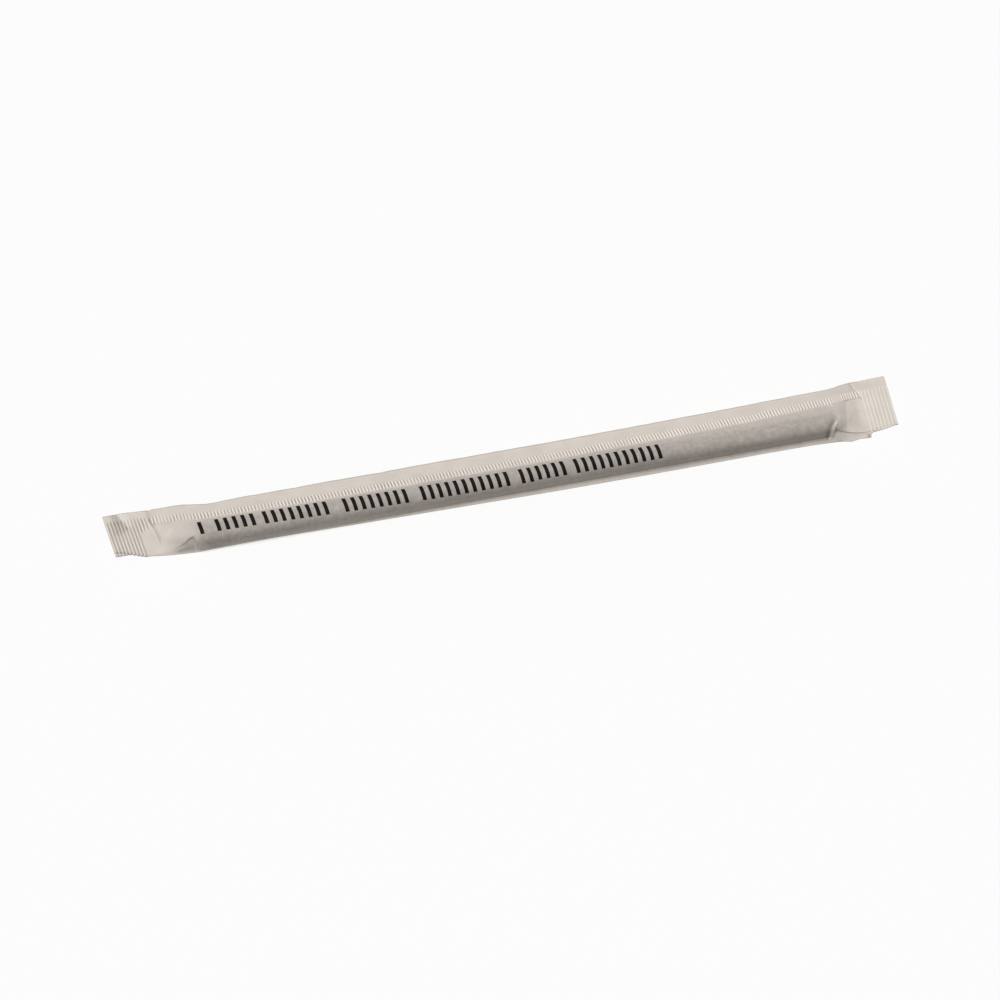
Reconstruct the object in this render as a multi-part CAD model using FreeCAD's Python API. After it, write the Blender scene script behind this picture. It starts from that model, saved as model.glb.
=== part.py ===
"""A drinking straw sealed in its paper sleeve, lying on a table.

Millimetres. X runs along the straw, Y away from the viewer, Z up, and the table is z = 0.
The sleeve is one strip of paper folded into a flat tube. The straw fills the front half of
the tube, so the rest of the width stands behind it as a wing that rises to a rear fold.
Both ends are pressed flat and crimped shut, and they lie on the table.
"""
import FreeCAD
import Part

import os
from collections import namedtuple
from math import acos, atan2, cos, hypot, pi, sin, tan

# The straw
STRAW_LENGTH = 200.0
STRAW_DIAMETER = 6.0
STRAW_WALL = 0.2

# The paper, and the play between it and the straw
PAPER = 0.08
PLAY = 0.05
FOLD_AIR = 0.08             # air inside a pressed fold, between its two sheets
FOLD_HEIGHT = 2 * PAPER + FOLD_AIR
HUMP_RADIUS = STRAW_DIAMETER / 2 + PLAY + PAPER
BODY_HEIGHT = 2 * HUMP_RADIUS
HUMP_FACETS = 10            # steps that the round of the hump is drawn in
TABLE_CUT = 0.05            # how far the loft dips below the table before it is cut level

# The lap seam: the outer edge of the strip lies over the inner one, on top of the wing
FLAP_MARGIN = 0.5           # what is left between the lap and the rear fold

# The crimps: ribs pressed across both pressed ends, parallel to the cut edge.
# The front and rear of a tip count from the straw's side, like those of the sections.
RIB_HEIGHT = 0.22
SEAL_LENGTH = 1.2           # bonded paper between the hollow stretch and the ribs
Crimp = namedtuple("Crimp", "side lean ribs pitch front_tip rear_tip")
LEFT_CRIMP = Crimp(side=-1, lean=-0.145, ribs=9, pitch=1.03, front_tip=-3.5, rear_tip=13.9)
RIGHT_CRIMP = Crimp(side=1, lean=0.133, ribs=9, pitch=1.24, front_tip=-0.9, rear_tip=15.0)


def along_straw(share):
    """A place over the straw, as a share of the way from its middle to its end."""
    return share * STRAW_LENGTH / 2


def past_end(side, distance):
    """A place past the straw's left (-1) or right (1) end."""
    return side * (STRAW_LENGTH / 2 + distance)


# Cross-sections along the hollow stretch, from one seal to the other:
# x          where the section crosses y = 0
# lean       how far it moves along x for each mm of y
# front      how far the front fold lies in front of the straw's side, on the table
# wing       how far the rear fold lies behind the straw's other side
# rise       height of the rear fold, as a share of the height over the straw
# hump_y     y of the top of the hump over the straw
# hump       height of the hump, as a share of the height over the straw
# reach      width of the lapped strip, from its free edge to the rear fold
Section = namedtuple("Section", "x lean front wing rise hump_y hump reach")
SECTIONS = [
    Section(past_end(-1, 15.9), LEFT_CRIMP.lean, -1.2, 13.6, 0.05, 6.0, 0.11, 6.8),
    Section(past_end(-1, 9.5), -0.09, -0.1, 12.1, 0.32, 2.2, 0.51, 7.4),
    Section(past_end(-1, 4.0), -0.03, 0.4, 10.1, 0.59, 0.4, 0.91, 7.8),
    Section(past_end(-1, 1.0), 0.0, 0.5, 9.2, 0.65, 0.0, 1.0, 8.0),
    Section(along_straw(-0.84), 0.0, 0.2, 9.3, 0.56, 0.0, 1.0, 8.7),
    Section(along_straw(-0.55), 0.0, 0.7, 9.0, 0.61, 0.0, 1.0, 9.1),
    Section(along_straw(-0.20), 0.0, 1.3, 8.5, 0.75, 0.0, 1.0, 8.8),
    Section(along_straw(0.15), 0.0, 1.8, 8.0, 0.86, 0.0, 1.0, 8.1),
    Section(along_straw(0.45), 0.0, 1.9, 7.9, 0.96, 0.0, 1.0, 7.4),
    Section(along_straw(0.75), 0.0, 1.8, 8.3, 1.0, 0.0, 1.0, 7.2),
    Section(along_straw(0.90), 0.0, 1.9, 8.7, 0.99, 0.0, 1.0, 7.2),
    Section(past_end(1, 1.0), 0.0, 2.5, 9.7, 0.83, 0.0, 1.0, 7.3),
    Section(past_end(1, 5.0), 0.05, 3.2, 11.7, 0.51, 1.0, 0.61, 7.3),
    Section(past_end(1, 7.8), 0.10, 2.8, 13.7, 0.19, 4.0, 0.27, 7.3),
    Section(past_end(1, 9.7), RIGHT_CRIMP.lean, 1.3, 14.7, 0.05, 6.0, 0.11, 7.3),
]


def front_y(section):
    """y of the front fold."""
    return -HUMP_RADIUS - section.front


def rear_y(section):
    """y of the rear fold."""
    return HUMP_RADIUS + section.wing


def vector(section, point):
    """A (y, z) point of a section, in space."""
    y, z = point
    return FreeCAD.Vector(section.x + section.lean * y, y, z)


def along(point, angle, distance):
    """The (y, z) point at a distance from another one."""
    return (point[0] + distance * cos(angle), point[1] + distance * sin(angle))


def tangent_angle(point, centre, radius, side):
    """Where a line from a point touches a circle, as an angle about the circle's centre."""
    dy, dz = point[0] - centre[0], point[1] - centre[1]
    return atan2(dz, dy) + side * acos(radius / hypot(dy, dz))


def rear_fold(section, inset):
    """The upper and lower corner of the rear fold, square to the slope of the wing."""
    rear_z = max(section.rise * BODY_HEIGHT, FOLD_HEIGHT / 2)
    slope = atan2(rear_z - section.hump * BODY_HEIGHT / 2, rear_y(section))
    middle = along((rear_y(section), rear_z), slope, -inset)
    half = FOLD_HEIGHT / 2 - inset
    square = slope + pi / 2
    return along(middle, square, half), along(middle, square, -half)


def lower_kink(rear_low, inset):
    """Where the lower sheet leaves the table to clear the straw on its way to the rear fold."""
    radius = HUMP_RADIUS - inset
    touch = tangent_angle(rear_low, (0.0, HUMP_RADIUS), radius, -1)
    return (radius * tan((touch + pi / 2) / 2), inset)


def hump(section, front_up, rear_up, inset):
    """Points over the hump, from where the front sheet meets it to where the wing leaves it."""
    centre = (section.hump_y, section.hump * BODY_HEIGHT - HUMP_RADIUS)
    radius = HUMP_RADIUS - inset
    start = tangent_angle(front_up, centre, radius, -1) % (2 * pi)
    end = tangent_angle(rear_up, centre, radius, 1)
    steps = range(HUMP_FACETS + 1)
    return [along(centre, start + (end - start) * step / HUMP_FACETS, radius) for step in steps]


def outline(section, inset):
    """The closed wire of one section: the outside of the paper, or its inside with an inset."""
    front = front_y(section) + inset
    front_up = (front, FOLD_HEIGHT - inset)
    rear_up, rear_low = rear_fold(section, inset)
    kink = lower_kink(rear_low, inset)
    over = hump(section, front_up, rear_up, inset)
    if inset:
        loop = [(front, inset), front_up] + over + [rear_up, rear_low, kink]
    else:
        seam = lap(section, over[-1], rear_up)
        sole = [(kink[0], -TABLE_CUT), (front, -TABLE_CUT)]
        loop = [front_up] + over + seam + [rear_up, rear_low, kink] + sole
    points = [vector(section, point) for point in loop]
    return Part.makePolygon(points + points[:1])


def lap(section, hump_end, rear_up):
    """The four corners of the lapped strip, one paper thickness above the wing."""
    slope = atan2(rear_up[1] - hump_end[1], rear_up[0] - hump_end[0])
    square = slope + pi / 2
    free_edge = along(rear_up, slope, -section.reach)
    inner_end = along(rear_up, slope, -FLAP_MARGIN)
    return [free_edge, along(free_edge, square, PAPER), along(inner_end, square, PAPER), inner_end]


def moved(section, distance):
    """The same section, further along x."""
    return section._replace(x=section.x + distance)


LEFT_SEAL = moved(SECTIONS[0], -SEAL_LENGTH)
RIGHT_SEAL = moved(SECTIONS[-1], SEAL_LENGTH)


def tube():
    """The sleeve between the crimps: hollow, and solid only along the two seals."""
    outer_sections = [LEFT_SEAL] + SECTIONS + [RIGHT_SEAL]
    outside = Part.makeLoft([outline(section, 0.0) for section in outer_sections], True, True)
    inside = Part.makeLoft([outline(section, PAPER) for section in SECTIONS], True, True)
    return outside.cut(below_table(outside.BoundBox)).cut(inside)


def below_table(box):
    """A block under the sleeve, to cut its underside level."""
    corner = FreeCAD.Vector(box.XMin - 1, box.YMin - 1, -1)
    return Part.makeBox(box.XLength + 2, box.YLength + 2, 1, corner)


def ribbed_plate(seal, crimp, front, rear):
    """The ribs of one crimp: a zigzag sheet drawn across the sleeve along the cut edge."""
    top, bottom = [], []
    for step in range(2 * crimp.ribs + 1):
        x = first_rib(seal, crimp) + crimp.side * crimp.pitch * step / 2
        lift = RIB_HEIGHT * (step % 2)
        top.append((x, 2 * PAPER + lift))
        bottom.append((x, lift))
    loop = top + bottom[::-1]
    points = [FreeCAD.Vector(x + crimp.lean * front, front, z) for x, z in loop]
    profile = Part.Face(Part.makePolygon(points + points[:1]))
    width = rear - front
    return profile.extrude(FreeCAD.Vector(crimp.lean * width, width, 0))


def plain_plate(seal, crimp, front, rear):
    """The smooth strip of one crimp, where the lap lies over the ribs."""
    inner, tip = first_rib(seal, crimp), tip_x(seal, crimp)
    corners = [(inner, front), (tip, front), (tip, HUMP_RADIUS + crimp.rear_tip), (inner, rear)]
    return block(crimp, corners, 0, 3 * PAPER + RIB_HEIGHT)


def trimmed(plate, seal, crimp):
    """A ribbed plate without the corner in front of the line from the fold to the tip."""
    tip, outside = tip_x(seal, crimp), front_y(seal) - 1
    front_tip = -HUMP_RADIUS - crimp.front_tip
    corners = [(seal.x, front_y(seal)), (tip, front_tip), (tip, outside), (seal.x, outside)]
    return plate.cut(block(crimp, corners, -1, 3))


def block(crimp, corners, bottom, height):
    """An upright block over corners given as x at y = 0 and y, leaning with the crimp."""
    points = [FreeCAD.Vector(x + crimp.lean * y, y, bottom) for x, y in corners]
    return Part.Face(Part.makePolygon(points + points[:1])).extrude(FreeCAD.Vector(0, 0, height))


def first_rib(seal, crimp):
    """Where the ribs start, at y = 0: halfway into the seal."""
    return seal.x - crimp.side * SEAL_LENGTH / 2


def tip_x(seal, crimp):
    """Where the cut edge crosses y = 0."""
    return first_rib(seal, crimp) + crimp.side * crimp.ribs * crimp.pitch


def crimped_end(seal, crimp):
    """One pressed end: ribs up to the lap's free edge, the smooth lap behind them."""
    free_edge = rear_y(seal) - seal.reach
    ribs = trimmed(ribbed_plate(seal, crimp, front_y(seal), free_edge), seal, crimp)
    return [ribs, plain_plate(seal, crimp, free_edge, rear_y(seal))]


def paper_wrapper():
    """The whole sleeve, one piece of paper."""
    ends = crimped_end(LEFT_SEAL, LEFT_CRIMP) + crimped_end(RIGHT_SEAL, RIGHT_CRIMP)
    return tube().fuse(ends).removeSplitter()


def drinking_straw():
    """The straw, a plain open tube that lies in the sleeve."""
    start = FreeCAD.Vector(-STRAW_LENGTH / 2, 0, HUMP_RADIUS)
    axis = FreeCAD.Vector(1, 0, 0)
    outside = Part.makeCylinder(STRAW_DIAMETER / 2, STRAW_LENGTH, start, axis)
    bore = Part.makeCylinder(STRAW_DIAMETER / 2 - STRAW_WALL, STRAW_LENGTH, start, axis)
    return outside.cut(bore)


def main():
    os.makedirs("parts", exist_ok=True)
    pieces = {"paper_wrapper": paper_wrapper(), "drinking_straw": drinking_straw()}
    box = pieces["paper_wrapper"].BoundBox
    to_origin = FreeCAD.Vector(-box.Center.x, -box.Center.y, -box.ZMin)
    for name, shape in pieces.items():
        shape.translate(to_origin)
        solid = shape.Solids[0]
        solid.exportStep(f"parts/{name}.step")
        print(name, "solids", len(shape.Solids), "valid", shape.isValid(), "volume", round(shape.Volume, 2))
    print("origin is at", tuple(round(-value, 3) for value in to_origin))
    print("box", [round(value, 2) for value in (box.XLength, box.YLength, box.ZLength)])


main()
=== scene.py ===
# %% [markdown]
# A drinking straw sealed in a paper sleeve, lying on a pale table.
# The sleeve is one thin sheet of paper: a flat tube with a lap seam on top and a ribbed crimp at each end.
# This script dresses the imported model. It replaces the plain solid of the sleeve by a fine mesh with
# every rib, fold and crease, and gives the paper and the straw their materials.

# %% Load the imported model
import math

import bpy
import numpy as np
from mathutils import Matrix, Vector


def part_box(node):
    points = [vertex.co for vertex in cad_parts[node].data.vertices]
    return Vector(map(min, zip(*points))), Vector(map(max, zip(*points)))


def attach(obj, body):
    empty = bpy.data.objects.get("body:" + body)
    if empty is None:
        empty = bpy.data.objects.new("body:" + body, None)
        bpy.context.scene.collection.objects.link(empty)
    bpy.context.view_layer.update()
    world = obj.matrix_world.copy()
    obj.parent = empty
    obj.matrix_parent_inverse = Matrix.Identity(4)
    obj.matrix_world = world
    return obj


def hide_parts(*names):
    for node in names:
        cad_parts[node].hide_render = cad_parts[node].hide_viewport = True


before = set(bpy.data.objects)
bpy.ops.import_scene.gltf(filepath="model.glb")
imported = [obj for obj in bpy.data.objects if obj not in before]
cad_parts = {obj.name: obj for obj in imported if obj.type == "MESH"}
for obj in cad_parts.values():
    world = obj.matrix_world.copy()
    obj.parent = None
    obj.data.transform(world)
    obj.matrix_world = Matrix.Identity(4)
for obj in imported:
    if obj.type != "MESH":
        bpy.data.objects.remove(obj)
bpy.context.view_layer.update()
straw_low, straw_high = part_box("drinking_straw")

# %% [markdown]
# All sizes below are in millimetres, counted from the middle of the straw at table height:
# x along the straw, y across it towards the rear fold, z up. The straw's own box gives its place,
# length and radius, so the sleeve always fits the straw that the model holds.

# %% Sizes of the straw and the folds
MM = 0.001                          # a millimetre in metres
HALF_STRAW = (straw_high[0] - straw_low[0]) / 2 / MM
STRAW_RADIUS = (straw_high[1] - straw_low[1]) / 2 / MM
ORIGIN = Vector(((straw_low[0] + straw_high[0]) / 2, (straw_low[1] + straw_high[1]) / 2, 0))
FOLD = 0.24                         # height of a pressed fold
HUMP_RADIUS = straw_low[2] / MM + STRAW_RADIUS
BODY_HEIGHT = 2 * HUMP_RADIUS
print("straw", 2 * HALF_STRAW, "mm long, radius", STRAW_RADIUS, "hump", HUMP_RADIUS)

# %% [markdown]
# The real sleeve is a paper tube that was pressed flat, so its section changes from a round hump over the
# straw to two flat sheets at the ends. It could be draped as cloth, or pulled into shape by hand. Here it is
# a list of cross-sections, because each row can be measured and read, and the sleeve then fits the straw
# that it wraps. The rows follow the solid's, with small corrections at the folds and the tips.
# Each row holds: x where the section crosses y = 0, the lean of the section along x for each mm of y,
# how far the front fold lies in front of the straw's side, how far the rear fold lies behind it,
# the rear fold's height and the hump's height as shares of the height over the straw,
# y of the hump's top, and the width of the lapped strip.

# %% Cross-sections of the sleeve
CRIMP_RIBS = 9                      # ribs pressed across each end
LEFT_SPACING, RIGHT_SPACING = 1.03, 1.24    # of the solid's ribs
LEFT_EXTRA = 0.5                    # the left tip reaches this far past the solid's
LEFT_LEAN = -0.145
RIGHT_LEAN = 0.133
LEFT_CRIMP = -HALF_STRAW - 16.5     # where the ribs of the left end begin, at y = 0
RIGHT_CRIMP = HALF_STRAW + 10.3
LEFT_TIP = LEFT_CRIMP - CRIMP_RIBS * LEFT_SPACING - LEFT_EXTRA
RIGHT_TIP = RIGHT_CRIMP + CRIMP_RIBS * RIGHT_SPACING
FIELDS = ("x", "lean", "front", "wing", "rise", "hump", "hump_y", "reach")
SECTIONS = [
    (LEFT_TIP, LEFT_LEAN, -4.9, 13.5, 0.02, 0.06, 6.0, 6.6),
    (LEFT_CRIMP, LEFT_LEAN, -1.2, 13.2, 0.03, 0.07, 6.0, 6.45),
    (-HALF_STRAW - 9.5, -0.09, -0.1, 11.6, 0.32, 0.51, 2.2, 7.0),
    (-HALF_STRAW - 4.0, -0.03, 0.4, 10.1, 0.59, 0.91, 0.4, 7.8),
    (-HALF_STRAW - 1.0, 0.0, 0.5, 9.2, 0.65, 1.0, 0.0, 8.0),
    (-HALF_STRAW + 3.5, 0.0, 0.4, 8.75, 0.60, 1.0, 0.0, 7.75),
    (-0.84 * HALF_STRAW, 0.0, 0.2, 9.2, 0.56, 1.0, 0.0, 8.7),
    (-0.55 * HALF_STRAW, 0.0, 0.7, 9.0, 0.61, 1.0, 0.0, 9.1),
    (-0.20 * HALF_STRAW, 0.0, 1.3, 8.5, 0.75, 1.0, 0.0, 8.8),
    (0.15 * HALF_STRAW, 0.0, 1.8, 8.0, 0.86, 1.0, 0.0, 8.35),
    (0.45 * HALF_STRAW, 0.0, 1.9, 7.9, 0.96, 1.0, 0.0, 7.9),
    (0.75 * HALF_STRAW, 0.0, 1.8, 8.3, 1.0, 1.0, 0.0, 7.55),
    (0.90 * HALF_STRAW, 0.0, 1.9, 8.7, 0.99, 1.0, 0.0, 7.2),
    (HALF_STRAW + 1.0, 0.0, 2.5, 9.7, 0.83, 1.0, 0.0, 7.3),
    (HALF_STRAW + 5.0, 0.05, 3.2, 11.7, 0.51, 0.61, 1.0, 7.3),
    (HALF_STRAW + 7.8, 0.10, 2.8, 13.7, 0.19, 0.27, 4.0, 7.3),
    (RIGHT_CRIMP, RIGHT_LEAN, 2.95, 14.7, 0.03, 0.07, 6.0, 7.3),
    (RIGHT_CRIMP + 1.4, RIGHT_LEAN, 2.95, 14.7, 0.03, 0.07, 6.0, 7.3),
    (RIGHT_CRIMP + 2.0, RIGHT_LEAN, 1.05, 14.7, 0.03, 0.07, 6.0, 7.3),
    (RIGHT_CRIMP + 7.0, RIGHT_LEAN, 0.3, 14.9, 0.03, 0.07, 6.0, 7.3),
    (RIGHT_TIP, RIGHT_LEAN, -0.5, 15.0, 0.02, 0.06, 6.0, 7.3),
]
print("sections", len(SECTIONS), "from", round(LEFT_TIP, 1), "to", round(RIGHT_TIP, 1))

# %% [markdown]
# Between the rows every value has to run smoothly, and must not swing past a row, or the paper would bulge.
# A plain spline does swing. A monotone cubic doesn't, so the tails stay as taut as the rows say.

# %% Smooth values between the rows


def smooth_through(places, values, x):
    """A curve through the given values that never overshoots them (monotone cubic)."""
    places, values = np.asarray(places), np.asarray(values)
    step = np.diff(places)
    slope = np.diff(values) / step
    tangent = np.zeros_like(values)
    same = slope[:-1] * slope[1:] > 0
    tangent[1:-1][same] = 2 * slope[:-1][same] * slope[1:][same] / (slope[:-1] + slope[1:])[same]
    k = np.clip(np.searchsorted(places, x, side="right") - 1, 0, len(step) - 1)
    t = np.clip((x - places[k]) / step[k], 0, 1)
    h00 = 2 * t**3 - 3 * t**2 + 1
    h10 = t**3 - 2 * t**2 + t
    h01 = 3 * t**2 - 2 * t**3
    h11 = t**3 - t**2
    return h00 * values[k] + h01 * values[k + 1] + step[k] * (h10 * tangent[k] + h11 * tangent[k + 1])


print("halfway between 0 and 1:", smooth_through([0.0, 1.0], [0.0, 1.0], np.array([0.5])))

# %% [markdown]
# In front of the straw the upper sheet comes down in a wall and ends in a narrow strip on the table. Beside
# the straw's left end the wall makes a pleat, beside its right end it leaves an ear of paper lying flat.
# Each row holds x, then y and z of the brow, where the upper sheet turns down, and y and z of the toe,
# where it meets the strip. Two short lists are easier to fit to the real folds than a sculpted mesh.

# %% Brow and toe
BROWS = [
    (LEFT_TIP, 1.20, 0.28, 1.00, 0.26),
    (LEFT_CRIMP, -1.50, 0.30, -1.70, 0.27),
    (-HALF_STRAW - 12.5, -2.20, 0.45, -2.35, 0.30),
    (-HALF_STRAW - 10.0, -2.00, 1.00, -2.45, 0.55),
    (-HALF_STRAW - 5.6, -1.90, 3.40, -2.55, 1.30),
    (-HALF_STRAW - 3.8, -1.60, 5.00, -2.60, 1.60),
    (-HALF_STRAW - 2.6, -1.60, 5.50, -2.75, 1.20),
    (-HALF_STRAW - 1.7, -3.05, 3.60, -3.10, 0.40),
    (-HALF_STRAW - 1.0, -HUMP_RADIUS, HUMP_RADIUS, -3.20, 0.32),
    (0.0, -HUMP_RADIUS, HUMP_RADIUS, -3.40, 0.45),
    (HALF_STRAW - 1.8, -HUMP_RADIUS, HUMP_RADIUS, -3.40, 0.45),
    (HALF_STRAW + 0.2, -2.95, 3.40, -2.95, 2.60),
    (HALF_STRAW + 1.5, -3.30, 2.70, -3.27, 2.15),
    (HALF_STRAW + 4.0, -3.75, 1.90, -3.85, 1.35),
    (HALF_STRAW + 8.0, -4.00, 1.05, -4.15, 0.70),
    (RIGHT_CRIMP + 1.5, -3.80, 0.42, -3.85, 0.27),
    (RIGHT_TIP, -1.80, 0.28, -2.00, 0.26),
]
BROW_FIELDS = ("x", "brow_y", "brow_z", "toe_y", "toe_z")
REAR_TRIM = 0.25            # the pressed rear fold is a little tighter than the solid's
SAG = 0.89                  # and the wing hangs a little lower
NOTCH, NOTCH_PLACE, NOTCH_LENGTH = 0.15, -HALF_STRAW - 12.6, 0.8     # a nick where the rear crease ends


def sections_at(x):
    """Every field of the cross-section at each x."""
    table, brows = np.array(SECTIONS), np.array(BROWS)
    section = {name: smooth_through(table[:, 0], table[:, i], x) for i, name in enumerate(FIELDS)}
    for i, name in enumerate(BROW_FIELDS[1:], start=1):
        section[name] = smooth_through(brows[:, 0], brows[:, i], x)
    notch = NOTCH * np.exp(-((x - NOTCH_PLACE) / NOTCH_LENGTH) ** 2)
    section["rise"] = section["rise"] * SAG
    section["wing"] = section["wing"] - REAR_TRIM - notch
    section["reach"] = section["reach"] - REAR_TRIM - notch
    return section


middle = sections_at(np.array([0.0]))
print("in the middle:", {name: round(float(value[0]), 2) for name, value in middle.items()})

# %% [markdown]
# The sheet is made of columns, one for each x, and every column is a row of points around the straw. These
# helpers lay points along a straight stretch or an arc, for all columns at once, which numpy does quickly.

# %% Helpers for points


def fade(value, start, end):
    """0 before start, 1 after end, and smooth between."""
    t = np.clip((value - start) / (end - start), 0, 1)
    return t * t * (3 - 2 * t)


def window(value, rise_start, rise_end, fall_start, fall_end):
    """1 in the middle of a range, 0 outside it, and smooth at both sides."""
    return fade(value, rise_start, rise_end) * (1 - fade(value, fall_start, fall_end))


def stretch(start, end, count):
    """Points from start up to, but not including, end, for every column."""
    share = np.arange(count)[None, :, None] / count
    return start[:, None, :] * (1 - share) + end[:, None, :] * share


def on_circle(centre, angle, radius):
    """Points of a circle in each column; angle has one row per column."""
    y = centre[:, :1] + radius * np.cos(angle)
    z = centre[:, 1:] + radius * np.sin(angle)
    return np.stack([y, z], axis=-1)


def sweep(start, end, count):
    """Angles from start up to, but not including, end, for every column."""
    share = np.arange(count)[None, :] / count
    return start[:, None] * (1 - share) + end[:, None] * share


def pair(y, z):
    """Points from y and z values."""
    return np.stack(np.broadcast_arrays(y, z), axis=-1).astype(float)


def touch_angle(point, centre, radius, side):
    """Where the line from a point touches a circle, as an angle about its centre."""
    away = point - centre
    distance = np.hypot(away[:, 0], away[:, 1])
    return np.arctan2(away[:, 1], away[:, 0]) + side * np.arccos(np.clip(radius / distance, -1, 1))


print("a quarter turn:", on_circle(np.zeros((1, 2)), np.array([[math.pi / 2]]), 1.0).round(3).tolist())

# %% [markdown]
# One section is a belt around the straw. It starts at the front fold on the table, lies flat as a narrow
# strip up to the toe, climbs to the brow and the hump, rounds it, runs back as the wing to the rear fold,
# and returns underneath to the table. Straight stretches touch the hump as tangents, as taut paper does.

# %% Main points of the belt
LEAST_TOE, LEAST_BROW = 0.05, 0.08      # least distance of toe and brow behind the front fold


def belt(section):
    """The main points of the sections: folds, toe, brow, hump and wing."""
    front = -HUMP_RADIUS - section["front"]
    rear = HUMP_RADIUS + section["wing"]
    rear_z = np.maximum(section["rise"] * BODY_HEIGHT, FOLD / 2)
    slope = np.arctan2(rear_z - section["hump"] * BODY_HEIGHT / 2, rear)
    square = pair(-np.sin(slope), np.cos(slope))
    rear_middle = pair(rear, rear_z)
    centre = pair(section["hump_y"], section["hump"] * BODY_HEIGHT - HUMP_RADIUS)
    front_up = pair(front + FOLD / 2, FOLD)
    toe = pair(np.maximum(section["toe_y"], front + FOLD / 2 + LEAST_TOE), section["toe_z"])
    brow = pair(np.maximum(section["brow_y"], front + FOLD / 2 + LEAST_BROW), section["brow_z"])
    rear_up = rear_middle + square * FOLD / 2
    rear_low = rear_middle - square * FOLD / 2
    start = touch_angle(brow, centre, HUMP_RADIUS, -1) % (2 * math.pi)
    end = touch_angle(rear_up, centre, HUMP_RADIUS, 1)
    return dict(front=front, front_up=front_up, toe=toe, brow=brow, centre=centre, start=start, end=end,
                rear_up=rear_up, rear_low=rear_low, rear_middle=rear_middle, slope=slope)


middle_points = belt(middle)
print("in the middle the front fold is at y", middle_points["front"].round(2),
      "and the rear fold at", middle_points["rear_middle"].round(2))

# %% [markdown]
# The skin is the closed belt without the lap. Round parts get more points than flat ones. The pleat's wall
# is pushed in a little, because the real one is a small pocket.

# %% The skin's sections
SKIN_COUNTS = dict(front_fold=5, strip=4, wall=7, shoulder=5, hump=18, wing=22, rear_fold=5, under=9, sole=4)
PLEAT_HOLLOW = 0.3          # depth of the pocket


def skin_sections(section):
    """All points of the sleeve's outer skin, (columns, points, 2), without the lap."""
    main = belt(section)
    count = SKIN_COUNTS
    columns = len(section["x"])
    fold_middle = pair(main["front"] + FOLD / 2, np.full(columns, FOLD / 2))
    down = np.full(columns, 1.5 * math.pi)
    up = np.full(columns, 0.5 * math.pi)
    front_fold = on_circle(fold_middle, sweep(down, up, count["front_fold"]), FOLD / 2)
    hump_start = on_circle(main["centre"], main["start"][:, None], HUMP_RADIUS)[:, 0]
    hump_end = on_circle(main["centre"], main["end"][:, None], HUMP_RADIUS)[:, 0]
    hump = on_circle(main["centre"], sweep(main["start"], main["end"], count["hump"]), HUMP_RADIUS)
    turn = sweep(main["slope"] + up, main["slope"] - up, count["rear_fold"])
    rear_fold = on_circle(main["rear_middle"], turn, FOLD / 2)
    straw_centre = pair(np.zeros(columns), np.full(columns, HUMP_RADIUS))
    touch = touch_angle(main["rear_low"], straw_centre, HUMP_RADIUS, -1)
    kink = pair(HUMP_RADIUS * np.tan((touch + math.pi / 2) / 2), np.zeros(columns))
    foot = pair(main["front"] + FOLD / 2, np.zeros(columns))
    wall = stretch(main["toe"], main["brow"], count["wall"])
    bow = np.sin(np.linspace(0, math.pi, count["wall"], endpoint=False))
    hollow = window(section["x"] + HALF_STRAW, -7, -5, -3, -1.5)
    wall[..., 0] += PLEAT_HOLLOW * hollow[:, None] * bow[None, :]
    parts = [front_fold, stretch(main["front_up"], main["toe"], count["strip"]), wall,
             stretch(main["brow"], hump_start, count["shoulder"]), hump,
             stretch(hump_end, main["rear_up"], count["wing"]), rear_fold,
             stretch(main["rear_low"], kink, count["under"]), stretch(kink, foot, count["sole"])]
    return np.concatenate(parts, axis=1)


print("skin points round a section:", sum(SKIN_COUNTS.values()))

# %% [markdown]
# Along the top runs the lap, where one edge of the sheet lies over the other. Its free edge stands on the
# wing, and it ends around the rear fold. It is a second strip just above the skin, so that it has a true
# edge, and its columns can be fine enough for the ribs of the seam.

# %% The lap's sections
LAP_LIFT = 0.05             # how far the lap's top lies over the sheet below
RIB_ROW = 3.4               # width of the ribbed row behind the free edge
LAP_COUNTS = dict(edge=2, row=10, strip=8, fold=6)


def lap_sections(section):
    """The points of the lapped strip and how far each lies behind the free edge."""
    main = belt(section)
    count = LAP_COUNTS
    hump_end = on_circle(main["centre"], main["end"][:, None], HUMP_RADIUS)[:, 0]
    wing = main["rear_up"] - hump_end
    wing /= np.linalg.norm(wing, axis=1)[:, None]
    normal = np.stack([-wing[:, 1], wing[:, 0]], axis=1)
    edge = main["rear_up"] - wing * section["reach"][:, None]
    lifted = normal * LAP_LIFT
    row_end = edge + wing * RIB_ROW
    quarter = np.full(len(edge), 0.5 * math.pi)
    turn = sweep(main["slope"] + quarter, main["slope"] - 0.9 * quarter, count["fold"])
    fold = on_circle(main["rear_middle"], turn, FOLD / 2 + LAP_LIFT)
    parts = [stretch(edge - 0.12 * wing - 0.3 * lifted, edge + lifted, count["edge"]),
             stretch(edge + lifted, row_end + lifted, count["row"]),
             stretch(row_end + lifted, main["rear_up"] + lifted, count["strip"]), fold]
    points = np.concatenate(parts, axis=1)
    behind = np.einsum("ijk,ik->ij", points - edge[:, None, :], wing)
    return points, behind


print("lap points across:", sum(LAP_COUNTS.values()))
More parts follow.
